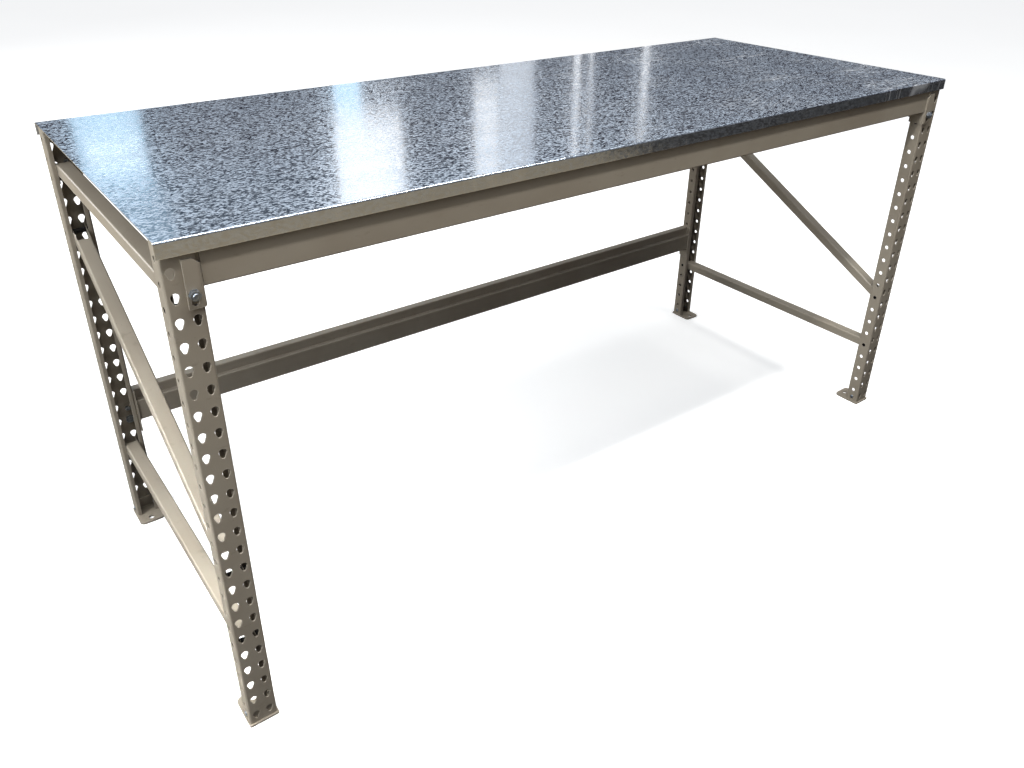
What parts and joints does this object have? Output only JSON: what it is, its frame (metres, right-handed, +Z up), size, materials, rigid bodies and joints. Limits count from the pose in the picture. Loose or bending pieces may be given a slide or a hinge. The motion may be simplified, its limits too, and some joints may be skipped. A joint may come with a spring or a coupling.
{
  "type": "workbench",
  "caption": "Long steel workbench: folded galvanised top on step beams hung from punched uprights, end frames with channel braces, a low rear beam and plate feet.",
  "frame": {"origin": "on the floor under the middle of the bench", "axes": "+X along the top, to the right as seen from the front; -Y is the front, where a person works; +Z up"},
  "size_m": [1.695, 0.683, 0.83],
  "materials": {
    "galvanised_sheet": "galvanised steel sheet, fine streaks along its length, light scratches",
    "frame_paint": "pebble grey powder coat, satin",
    "zinc_plate": "bright zinc plate",
    "black_oxide": "black oxide, slightly oiled",
    "deck_board": "raw chipboard"
  },
  "bodies": {
    "root": {"worktop_sheet": "galvanised_sheet", "deck_board": "deck_board", "front_beam": "frame_paint", "front_beam_left_connector": "frame_paint", "front_beam_right_connector": "frame_paint", "rear_beam": "frame_paint", "rear_beam_left_connector": "frame_paint", "rear_beam_right_connector": "frame_paint", "lower_rear_beam": "frame_paint", "lower_rear_beam_left_connector": "frame_paint", "lower_rear_beam_right_connector": "frame_paint", "front_left_upright": "frame_paint", "front_left_foot": "frame_paint", "front_right_upright": "frame_paint", "front_right_foot": "frame_paint", "rear_left_upright": "frame_paint", "rear_left_foot": "frame_paint", "rear_right_upright": "frame_paint", "rear_right_foot": "frame_paint", "left_top_brace": "frame_paint", "left_diagonal_brace": "frame_paint", "left_lower_brace": "frame_paint", "right_top_brace": "frame_paint", "right_diagonal_brace": "frame_paint", "right_lower_brace": "frame_paint", "hook_studs": "zinc_plate", "beam_lock_bolts": "zinc_plate", "beam_lock_nuts": "zinc_plate", "left_brace_pins": "black_oxide", "right_brace_pins": "black_oxide", "foot_rivets": "zinc_plate"}
  },
  "joints": []
}
